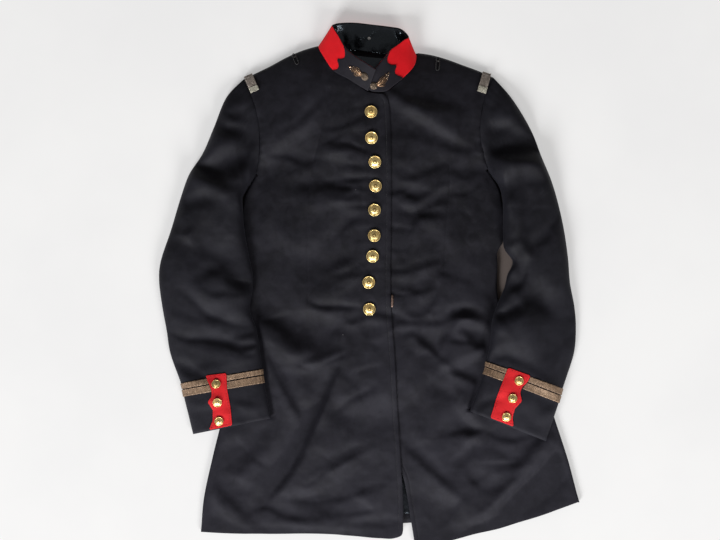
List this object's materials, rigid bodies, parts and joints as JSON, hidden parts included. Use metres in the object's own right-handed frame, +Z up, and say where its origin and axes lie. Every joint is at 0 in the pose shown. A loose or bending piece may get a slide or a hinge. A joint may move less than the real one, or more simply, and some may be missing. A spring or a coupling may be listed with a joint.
{
  "type": "military dress tunic",
  "caption": "Officer's dark dress tunic laid flat with its front up: standing collar, domed buttons down the front, cuffs with galon and slash patches.",
  "frame": {"origin": "centre of the bounding box's underside, on the surface the tunic lies on", "axes": "+Y towards the collar, +X towards the wearer's left, +Z up from the surface"},
  "size_m": [0.7101, 0.8869, 0.0659],
  "materials": {
    "cloth": "matt wool broadcloth",
    "red_cloth": "matt wool broadcloth",
    "lining": "glossy satin",
    "galon": "tarnished metal lace",
    "gilt": "polished gilt",
    "bullion": "metal thread embroidery",
    "cord": "twisted cord",
    "bronze": "worn bronze",
    "white": "satin"
  },
  "bodies": {
    "root": {"back": "cloth", "back_lining": "lining", "collar": "red_cloth", "collar_badge_left": "bullion", "collar_badge_right": "bullion", "collar_lining": "lining", "collar_stud": "white", "collar_tab_left": "cloth", "collar_tab_right": "cloth", "cuff_button_left_1": "gilt", "cuff_button_left_2": "gilt", "cuff_button_left_3": "gilt", "cuff_button_right_1": "gilt", "cuff_button_right_2": "gilt", "cuff_button_right_3": "gilt", "cuff_patch_left": "red_cloth", "cuff_patch_right": "red_cloth", "front_button_1": "gilt", "front_button_2": "gilt", "front_button_3": "gilt", "front_button_4": "gilt", "front_button_5": "gilt", "front_button_6": "gilt", "front_button_7": "gilt", "front_button_8": "gilt", "front_button_9": "gilt", "front_left": "cloth", "front_right": "cloth", "galon_left_inner_1": "galon", "galon_left_inner_2": "galon", "galon_left_outer_1": "galon", "galon_left_outer_2": "galon", "galon_right_inner_1": "galon", "galon_right_inner_2": "galon", "galon_right_outer_1": "galon", "galon_right_outer_2": "galon", "neck_lining": "lining", "shoulder_loop_left": "cord", "shoulder_loop_right": "cord", "shoulder_strap_left": "galon", "shoulder_strap_right": "galon", "sleeve_left_top": "cloth", "sleeve_left_under": "cloth", "sleeve_right_top": "cloth", "sleeve_right_under": "cloth", "waist_hook": "bronze"}
  },
  "joints": []
}
